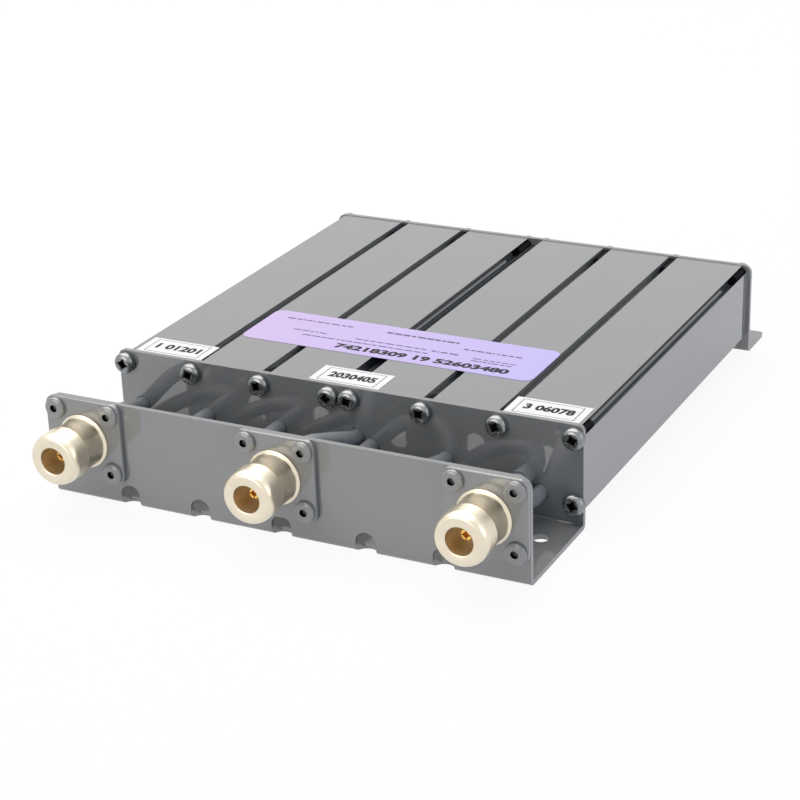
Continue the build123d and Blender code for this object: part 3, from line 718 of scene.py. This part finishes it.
def print_nameplate(low, high, ink, fine_ink):
    """Rows of short bars in place of fine print, and one row of large figures."""
    random = np.random.default_rng(PRINT_SEED)
    parts = []
    for left, bottom, right, top in FINE_PRINT:
        x = left
        while x < right - ROW_END:
            end = min(x + random.uniform(*WORD_WIDTHS), right)
            parts.append(bar_arrays(low[0] + x, low[1] + bottom, low[0] + end, low[1] + top, high[2]))
            x = end + random.uniform(*WORD_GAPS)
    build_piece("nameplate_fine_print", *join(parts), fine_ink)
    first, last = (low[:2] + place for place in NAMEPLATE_FIGURES_BOX)
    add_piece("nameplate_figures", figures_mesh(NAMEPLATE_FIGURES, first, last, high[2]), ink)


def print_port_label(side, low, high, ink):
    """A ruled frame and plain figures inside it."""
    left, bottom = low[0] + PORT_FRAME_LEFT, low[1] + PORT_FRAME_INSET
    top = high[1] - PORT_FRAME_INSET
    parts = [bar_arrays(x, bottom, x + UPRIGHT_LINE, top, high[2])
             for x in (left, high[0] - PORT_FRAME_RIGHT)]
    parts += [bar_arrays(left, y, high[0] - PORT_FRAME_LEFT, y + LEVEL_LINE, high[2])
              for y in (bottom, top - LEVEL_LINE)]
    build_piece(f"port_label_frame_{side}", *join(parts), ink)
    first, last = (low[:2] + place for place in PORT_FIGURES_BOX)
    add_piece(f"port_label_figures_{side}", figures_mesh(PORT_FIGURES[side], first, last, high[2]), ink)


# Floor, light and camera

def make_floor():
    """Plain pale floor. Seen by the camera or in a mirror it is mostly white, and it keeps the shadow."""
    material, tree, _ = new_material("plain_paper_floor")
    matt = add_node(tree, "ShaderNodeBsdfDiffuse", None, {"Color": srgb(FLOOR_COLOUR)})
    white = add_node(tree, "ShaderNodeEmission", None, {"Color": (1, 1, 1, 1), "Strength": 1.0})
    path = add_node(tree, "ShaderNodeLightPath")
    mirrored = add_node(tree, "ShaderNodeMath", {"operation": "MULTIPLY"},
                        {0: path.outputs["Is Glossy Ray"], 1: FLOOR_MIRRORED})
    share = add_node(tree, "ShaderNodeMath", {"operation": "MULTIPLY_ADD"},
                     {0: path.outputs["Is Camera Ray"], 1: FLOOR_SEEN, 2: mirrored.outputs["Value"]})
    mixed = add_node(tree, "ShaderNodeMixShader", None,
                     {"Fac": share.outputs["Value"], 1: matt.outputs[0], 2: white.outputs[0]})
    finish_material(tree, mixed)
    corners = [(x * FLOOR_REACH, y * FLOOR_REACH, 0.0) for x, y in ((-1, -1), (1, -1), (1, 1), (-1, 1))]
    mesh = bpy.data.meshes.new("floor")
    mesh.from_pydata(corners, [], [(0, 1, 2, 3)])
    mesh.materials.append(material)
    floor = bpy.data.objects.new("floor", mesh)
    bpy.context.scene.collection.objects.link(floor)


def make_light():
    """A cool dome, a very broad soft lamp overhead, and weak ones in front and at the right."""
    scene = bpy.context.scene
    world = bpy.data.worlds.new("studio")
    scene.world = world
    world.use_nodes = True
    tree = world.node_tree
    tree.nodes.clear()
    dome = add_node(tree, "ShaderNodeBackground", None,
                    {"Color": srgb(DOME_COLOUR), "Strength": DOME_STRENGTH})
    seen = add_node(tree, "ShaderNodeBackground", None, {"Color": (1, 1, 1, 1), "Strength": 1.0})
    path = add_node(tree, "ShaderNodeLightPath")
    straight = add_node(tree, "ShaderNodeMath", {"operation": "MAXIMUM"},
                        {0: path.outputs["Is Camera Ray"], 1: path.outputs["Is Glossy Ray"]})
    direct = add_node(tree, "ShaderNodeMath", {"operation": "MAXIMUM"},
                      {0: straight.outputs["Value"], 1: path.outputs["Is Transmission Ray"]})
    mixed = add_node(tree, "ShaderNodeMixShader", None,
                     {"Fac": direct.outputs["Value"], 1: dome.outputs[0], 2: seen.outputs[0]})
    add_node(tree, "ShaderNodeOutputWorld", None, {"Surface": mixed.outputs[0]})
    for name, place, diameter, power in LAMPS:
        lamp = bpy.data.lights.new(name, "AREA")
        lamp.shape = "DISK"
        lamp.size = diameter
        lamp.energy = power
        lamp.color = srgb(LAMP_COLOUR)[:3]
        made = bpy.data.objects.new(name, lamp)
        made.location = place
        made.rotation_euler = (-Vector(place)).to_track_quat("-Z", "Y").to_euler()
        scene.collection.objects.link(made)


def make_camera():
    """Camera of the photograph: forward and up from azimuth and elevation, then rolled."""
    a, e, r = (math.radians(v) for v in (CAMERA_AZIMUTH, CAMERA_ELEVATION, CAMERA_ROLL))
    right = Vector((math.cos(a), math.sin(a), 0))
    forward = Vector((-math.sin(a) * math.cos(e), math.cos(a) * math.cos(e), -math.sin(e)))
    up = right.cross(forward)
    rolled_right = math.cos(r) * right + math.sin(r) * up
    rolled_up = -math.sin(r) * right + math.cos(r) * up
    data = bpy.data.cameras.new("camera")
    data.lens = CAMERA_LENS
    data.sensor_width = CAMERA_SENSOR
    data.clip_start, data.clip_end = CAMERA_CLIP
    camera = bpy.data.objects.new("camera", data)
    camera.matrix_world = Matrix((
        (rolled_right.x, rolled_up.x, -forward.x, CAMERA_PLACE[0]),
        (rolled_right.y, rolled_up.y, -forward.y, CAMERA_PLACE[1]),
        (rolled_right.z, rolled_up.z, -forward.z, CAMERA_PLACE[2]),
        (0, 0, 0, 1),
    ))
    bpy.context.scene.collection.objects.link(camera)
    bpy.context.scene.camera = camera


# Sizes and colours that a user may change

def length(name, millimetres, description):
    """Property for one length, given in millimetres."""
    return FloatProperty(name=name, description=description, unit="LENGTH", default=millimetres * MM)


def tone(name, colour, description):
    """Property for one sRGB hex colour."""
    return StringProperty(name=name, description=description, default=colour)


class DuplexerSizes(bpy.types.PropertyGroup):
    """Sizes of the fine detail, those of the CAD part where both share them."""

    socket_thread: length("Socket thread", 15.88, "Diameter over the coupling thread")
    socket_thread_length: length("Thread length", 8.0, "From a socket's front to the end of its thread")
    socket_pitch: length("Thread pitch", 25.4 / 24, "Pitch of the coupling thread, 24 turns to the inch")
    socket_thread_depth: length("Thread depth", 0.03, "Depth of the thread that shows in its plating")
    nose: length("Nose", 13.2, "Diameter of the flat front face of the socket")
    nose_length: length("Nose length", 2.6, "Length of the rounded nose")
    neck: length("Neck", 14.9, "Diameter of the plain neck behind the thread")
    ring: length("Ring", 16.6, "Diameter of the ring on the flange")
    mouth: length("Mouth", 8.2, "Bore at the front of the socket")
    mouth_depth: length("Mouth depth", 10.4, "From the front of the socket to the insulator")
    core: length("Core", 7.0, "Bore round the insulator")
    barrel: length("Barrel", 12.4, "Diameter of the socket behind the lip")
    flange: length("Flange", 25.4, "Side of the square flange")
    flange_thick: length("Flange thickness", 1.6, "Thickness of the square flange")
    hole_spacing: length("Rivet spacing", 18.26, "Distance between the rivets of one flange")
    rivet_head: length("Rivet head", 6.5, "Diameter of a rivet head")
    rivet_height: length("Rivet height", 1.5, "Height of a rivet head")
    rivet_bore: length("Rivet bore", 2.25, "Hole where the mandrel has broken off")
    front_head: length("Front screw head", 6.6, "Diameter of the heads at the front")
    front_head_height: length("Front head height", 2.75, "Height of the heads at the front")
    rear_head: length("Rear screw head", 5.4, "Diameter of the heads at the rear")
    rear_head_height: length("Rear head height", 1.8, "Height of the heads at the rear")
    screw_shank: length("Screw shank", 3.5, "Diameter over the thread of a screw")
    screw_length: length("Screw length", 10.0, "Length of a screw under its head")
    screw_pitch: length("Screw pitch", 0.7, "Pitch of the pan head screws")
    screw_inset: length("Screw inset", 2.5, "From an extrusion's faces to the middle of a corner screw")
    seam_offset: length("Seam offset", 12.0, "From the middle of an extrusion to its seam screws")
    socket_segments: IntProperty(name="Socket segments", default=96, description="Steps round each socket")
    screw_segments: IntProperty(name="Screw segments", default=48, description="Steps round each screw")


class DuplexerFinish(bpy.types.PropertyGroup):
    """Colours and surface values of the finishes."""

    enamel: tone("Enamel", "#818380", "Grey of the brackets and extrusions")
    enamel_roughness: FloatProperty(name="Enamel roughness", default=0.03, min=0.0, max=1.0,
                                    subtype="FACTOR", description="Roughness of the stoved enamel")
    enamel_ior: FloatProperty(name="Enamel index", default=2.0,
                              description="Refractive index, which sets how strongly the enamel mirrors")
    peel_width: length("Orange peel", 1.5, "Width of the waves in the enamel")
    paint_edge: length("Paint edge", 0.15, "Radius that the paint gives to each edge")
    nickel: tone("Nickel", "#EDE3CE", "Warm nickel plate of the sockets")
    mouth: tone("Socket mouth", "#F3E2C4", "Gold flash inside the sockets")
    gold: tone("Gold", "#FFCF70", "Gold plate of the contacts")
    insulator: tone("Insulator", "#EFE6D2", "Fluoropolymer round the contacts")
    # Painted shade: near black, standing for the shade deep in the bores of the rivets
    rivet_bore: tone("Rivet bore", "#070707", "Oxide in the bores of the rivets")
    zinc: tone("Zinc", "#94989A", "Bright zinc plate of the screws")
    # Painted shade: near black, it darkens the recesses, head rims and shanks of the screws
    recess_shade: tone("Recess", "#0B0B0C", "Dark inside of the recesses")
    jacket: tone("Jacket", "#8A8D8E", "Vinyl of the coaxial leads")
    sleeve: tone("Sleeve", "#7A7D7E", "Heat shrink sleeve on one lead")
    copper: tone("Copper", "#C98A63", "Resonator tubes and coupling loops")
    brass: tone("Brass", "#D2B06A", "Tuning screws, bushes and lock nuts")
    lilac_left: tone("Nameplate left", "#C4AED8", "Left tint of the nameplate")
    lilac_right: tone("Nameplate right", "#B8AEE2", "Right tint of the nameplate")
    ink: tone("Ink", "#0F0D12", "Ink of the large figures")
    fine_ink: tone("Fine print", "#4A4164", "Ink of the fine print, thinned")
    white_label: tone("White label", "#E6E6E3", "Port labels")


# Steps

class DUPLEXER_OT_brackets(bpy.types.Operator):
    """Paint the folded brackets and the extrusions"""

    bl_idname = "duplexer.brackets"
    bl_label = "Brackets and extrusions"

    def execute(self, context):
        finish = context.scene.duplexer_finish
        sheet = gloss_enamel(SHEET_ENAMEL, finish.enamel)
        extruded = gloss_enamel("stoved_gloss_enamel_on_extrusion", finish.enamel, lines_along_y=True)
        for name in BRACKETS:
            dress(name, sheet)
        for name in PROFILES:
            dress(name, extruded)
        return {"FINISHED"}


class DUPLEXER_OT_sockets(bpy.types.Operator):
    """Build the threaded sockets, their painted flanges and their rivets"""

    bl_idname = "duplexer.sockets"
    bl_label = "Coaxial sockets"

    def execute(self, context):
        finish, sizes = context.scene.duplexer_finish, context.scene.duplexer_sizes
        finishes = {
            "bracket": bpy.data.materials[SHEET_ENAMEL],
            "nickel": turned_metal("nickel_plated_turned_brass", finish.nickel, roughness=0.3),
            "mouth": turned_metal("gold_flash_on_turned_brass", finish.mouth, roughness=0.42),
        }
        gold = turned_metal("gold_plated_contact", finish.gold, roughness=0.3)
        insulator = moulded_fluoropolymer("moulded_fluoropolymer", finish.insulator)
        # Painted shade: the bores of the rivets are near black, with almost no gleam
        bore_shade = matt_coat("mandrel_bore_painted_shade", finish.rivet_bore, gleam=0.05)
        lip = node_box("front_bracket")[0][1]
        half = sizes.hole_spacing / 2
        parts, bores = [], []
        for side in SIDES:
            build_socket(side, finishes, sizes)
            dress(f"connector_contact_{side}", gold)
            dress(f"connector_insulator_{side}", insulator)
            low, high = node_box(f"connector_body_{side}")
            x, z = (low[0] + high[0]) / 2, (low[2] + high[2]) / 2
            for centre in ((x + dx, z + dz) for dx in (-half, half) for dz in (-half, half)):
                vertices, faces, bore = rivet_arrays(centre, lip, sizes)
                parts.append((vertices, faces))
                bores.append(bore)
        rivets = build_piece("blind_rivets", *join(parts), finishes["bracket"], "rivet_aluminium")
        line_faces(rivets, bore_shade, np.concatenate(bores))
        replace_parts(rivets, "connector_rivets")
        return {"FINISHED"}


class DUPLEXER_OT_screws(bpy.types.Operator):
    """Build the pan head screws of both ends"""

    bl_idname = "duplexer.screws"
    bl_label = "Pan head screws"

    def execute(self, context):
        finish, sizes = context.scene.duplexer_finish, context.scene.duplexer_sizes
        zinc = zinc_plated_steel("bright_zinc_plated_steel", finish.zinc, finish.recess_shade)
        places = screw_places(sizes)
        turns = np.random.default_rng(SCREW_SEED).uniform(0, np.pi / 2, 2 * len(places))
        # The last value of each end is how far its screws reach from their seat towards +Y
        ends = (("front_screws", -1, sizes.front_head, sizes.front_head_height, sizes.screw_length),
                ("rear_screws", 1, sizes.rear_head, sizes.rear_head_height, sizes.rear_head_height))
        for (name, facing, head, height, reach), end_turns in zip(ends, turns.reshape(2, -1)):
            seat = node_box(name)[1][1] - reach
            parts, marks = [], []
            for (x, z), turn in zip(places, end_turns):
                vertices, faces, mark = screw_arrays(sizes, head / 2, height, x, z, seat, facing, turn)
                parts.append((vertices, faces))
                marks.append(mark)
            # The recess attribute carries the painted shade of the recesses, head rims and shanks
            made = build_piece(f"pan_head_{name}", *join(parts), zinc, "zinc_screw",
                               ("recess", np.concatenate(marks)))
            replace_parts(made, name)
        return {"FINISHED"}


class DUPLEXER_OT_leads(bpy.types.Operator):
    """Finish the coaxial leads and the sleeve"""

    bl_idname = "duplexer.leads"
    bl_label = "Coaxial leads"

    def execute(self, context):
        finish = context.scene.duplexer_finish
        jacket = vinyl_jacket("extruded_vinyl_jacket", finish.jacket)
        for name in LEADS:
            dress(name, jacket)
        dress("lead_sleeve", vinyl_jacket("heat_shrink_sleeve", finish.sleeve))
        return {"FINISHED"}


class DUPLEXER_OT_cavities(bpy.types.Operator):
    """Finish the resonators, loops, bushes, nuts and tuning screws"""

    bl_idname = "duplexer.cavities"
    bl_label = "Cavity parts and tuners"

    def execute(self, context):
        finish = context.scene.duplexer_finish
        copper = turned_metal("drawn_copper_tube", finish.copper, roughness=0.3)
        brass = turned_metal("turned_brass", finish.brass, roughness=0.28)
        for i in CAVITIES:
            dress(f"resonator_tube_{i}", copper)
            dress(f"coupling_loop_{i}", copper)
            dress(f"tuning_screw_{i}", brass)
        dress("tuner_bushes", brass)
        dress("lock_nuts", brass)
        return {"FINISHED"}


class DUPLEXER_OT_labels(bpy.types.Operator):
    """Finish the nameplate and the port labels, and print on them"""

    bl_idname = "duplexer.labels"
    bl_label = "Labels"

    def execute(self, context):
        finish = context.scene.duplexer_finish
        low, high = (corner / MM for corner in node_box("nameplate_label"))
        lilac = printed_film("printed_lilac_polyester", finish.lilac_left, finish.lilac_right,
                             high[0] - low[0], roughness=0.3)
        white = printed_film("printed_white_polyester", finish.white_label, finish.white_label,
                             high[0] - low[0], roughness=0.35)
        ink = matt_coat("screen_printed_black_ink", finish.ink, gleam=0.15)
        fine_ink = matt_coat("screen_printed_grey_ink", finish.fine_ink)
        dress("nameplate_label", lilac)
        print_nameplate(low, high, ink, fine_ink)
        for side in SIDES:
            dress(f"port_label_{side}", white)
            low, high = (corner / MM for corner in node_box(f"port_label_{side}"))
            print_port_label(side, low, high, ink)
        return {"FINISHED"}


class DUPLEXER_OT_stage(bpy.types.Operator):
    """Set the floor, the soft light and the camera of the photograph"""

    bl_idname = "duplexer.stage"
    bl_label = "Floor, light and camera"

    def execute(self, context):
        make_floor()
        make_light()
        make_camera()
        return {"FINISHED"}


OPERATORS = (
    DUPLEXER_OT_brackets, DUPLEXER_OT_sockets, DUPLEXER_OT_screws, DUPLEXER_OT_leads,
    DUPLEXER_OT_cavities, DUPLEXER_OT_labels, DUPLEXER_OT_stage,
)


class DUPLEXER_PT_panel(bpy.types.Panel):
    """Lists the steps, sizes and colours in the sidebar"""

    bl_label = "Cavity duplexer"
    bl_idname = "DUPLEXER_PT_panel"
    bl_space_type = "VIEW_3D"
    bl_region_type = "UI"
    bl_category = "Duplexer"

    def draw(self, context):
        for operator in OPERATORS:
            self.layout.operator(operator.bl_idname)
        for group in (context.scene.duplexer_sizes, context.scene.duplexer_finish):
            for name in group.bl_rna.properties.keys():
                if name not in ("rna_type", "name"):
                    self.layout.prop(group, name)


CLASSES = (DuplexerSizes, DuplexerFinish) + OPERATORS + (DUPLEXER_PT_panel,)


def register():
    """Registers the classes and hangs the sizes and finishes on the scene."""
    for each in CLASSES:
        bpy.utils.register_class(each)
    bpy.types.Scene.duplexer_sizes = PointerProperty(type=DuplexerSizes)
    bpy.types.Scene.duplexer_finish = PointerProperty(type=DuplexerFinish)


def unregister():
    """Undoes what register has done, in reverse."""
    del bpy.types.Scene.duplexer_finish
    del bpy.types.Scene.duplexer_sizes
    for each in reversed(CLASSES):
        bpy.utils.unregister_class(each)


def main():
    """Runs every step in order."""
    bpy.context.scene.view_settings.view_transform = "Standard"
    register()
    for operator in OPERATORS:
        getattr(bpy.ops.duplexer, operator.bl_idname.split(".")[1])()


if __name__ == "__main__":
    main()
